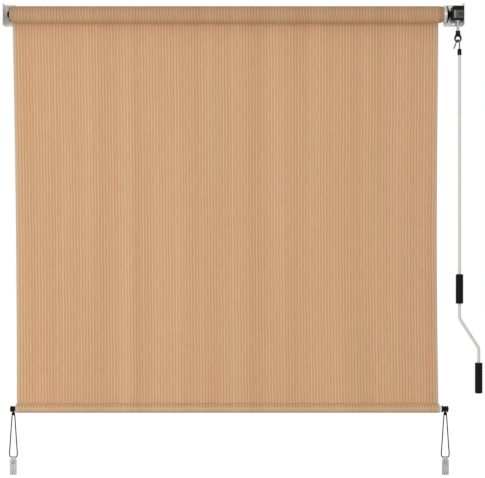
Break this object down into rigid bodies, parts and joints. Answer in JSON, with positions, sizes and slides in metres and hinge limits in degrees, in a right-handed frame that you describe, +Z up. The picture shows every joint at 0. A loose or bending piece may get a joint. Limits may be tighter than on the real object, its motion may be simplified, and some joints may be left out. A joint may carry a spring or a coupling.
{
  "type": "outdoor roller shade",
  "caption": "Outdoor roller shade: ribbed tan cloth on a wall-hung roller with a worm gear, a hook-on crank wand, a weighted hem and elastic tie-down loops.",
  "frame": {"origin": "in the wall plane, midway between the wall screws of the two brackets, at the height of the roller's axis", "axes": "+X along the roller towards the gear drive, +Y into the wall, +Z up"},
  "size_m": [2.0535, 0.1025, 2.0258],
  "materials": {
    "bracket_metal": "light grey coated sheet steel",
    "white_nylon": "natural nylon",
    "black_plastic": "black moulded nylon",
    "grey_plastic": "dark grey moulding",
    "steel": "plain bright steel",
    "gear_brass": "machined brass",
    "tube_aluminium": "mill finish extrusion",
    "cloth": "tan knitted sun cloth with upright ribs",
    "bar_white": "white coated tube",
    "elastic_cord": "black braided elastic",
    "clip_steel": "zinc plated steel",
    "wand_paint": "light grey enamel on steel tube",
    "grip_black": "black moulded grip"
  },
  "bodies": {
    "frame": {"left_bracket": "bracket_metal", "right_bracket": "bracket_metal", "idler_bush": "white_nylon", "axle_bush": "white_nylon", "gear_housing": "black_plastic", "housing_cover": "grey_plastic", "housing_screws": "steel", "worm_bush": "white_nylon"},
    "roller": {"roller_tube": "tube_aluminium", "fabric_roll": "cloth", "idler_plug": "black_plastic", "idler_pin": "steel", "drive_plug": "black_plastic", "drive_axle": "steel", "axle_clip": "steel", "worm_wheel": "gear_brass"},
    "worm": {"worm_shaft": "steel", "worm_thread": "steel", "crank_eye": "black_plastic", "eye_pin": "steel"},
    "hem": {"fabric_panel": "cloth", "hem_sleeve": "cloth", "hem_bar": "bar_white", "left_hem_cap": "black_plastic", "right_hem_cap": "black_plastic", "left_cord_wrap": "elastic_cord", "right_cord_wrap": "elastic_cord", "left_bungee": "elastic_cord", "right_bungee": "elastic_cord", "left_clip": "clip_steel", "right_clip": "clip_steel"},
    "wand": {"wand_hook": "clip_steel", "wand_ferrule": "black_plastic", "wand_rod": "wand_paint", "grip_collars": "steel"},
    "upper_grip": {"upper_grip": "grip_black"},
    "lower_grip": {"lower_grip": "grip_black"}
  },
  "joints": [
    {"name": "roller_turn", "type": "hinge", "parent": "frame", "child": "roller", "pos_m": [0, -0.056, 0], "axis": [1, 0, 0], "range_deg": [0, 2227.5]},
    {"name": "worm_turn", "type": "hinge", "parent": "frame", "child": "worm", "pos_m": [0.9595, -0.077, 0], "axis": [0, 0, 1], "range_deg": [0, 11880]},
    {"name": "shade_lift", "type": "slide", "parent": "frame", "child": "hem", "axis": [0, 0, 1], "range_m": [0, 1.6], "deforming": ["fabric_panel"]},
    {"name": "wand_swing", "type": "hinge", "parent": "worm", "child": "wand", "pos_m": [0.9595, -0.077, -0.1226], "axis": [-0.866, -0.5, 0], "range_deg": [0, 60]},
    {"name": "upper_grip_spin", "type": "hinge", "parent": "wand", "child": "upper_grip", "pos_m": [0.965, -0.08653, -1.176], "axis": [0, 0, 1], "continuous": true},
    {"name": "lower_grip_spin", "type": "hinge", "parent": "wand", "child": "lower_grip", "pos_m": [1.047, -0.08653, -1.556], "axis": [0, 0, 1], "continuous": true}
  ],
  "couplings": [
    {"joint": "roller_turn", "follows": "worm_turn", "ratio": 0.1875},
    {"joint": "shade_lift", "follows": "worm_turn", "m_per_rad": 0.0077165}
  ]
}
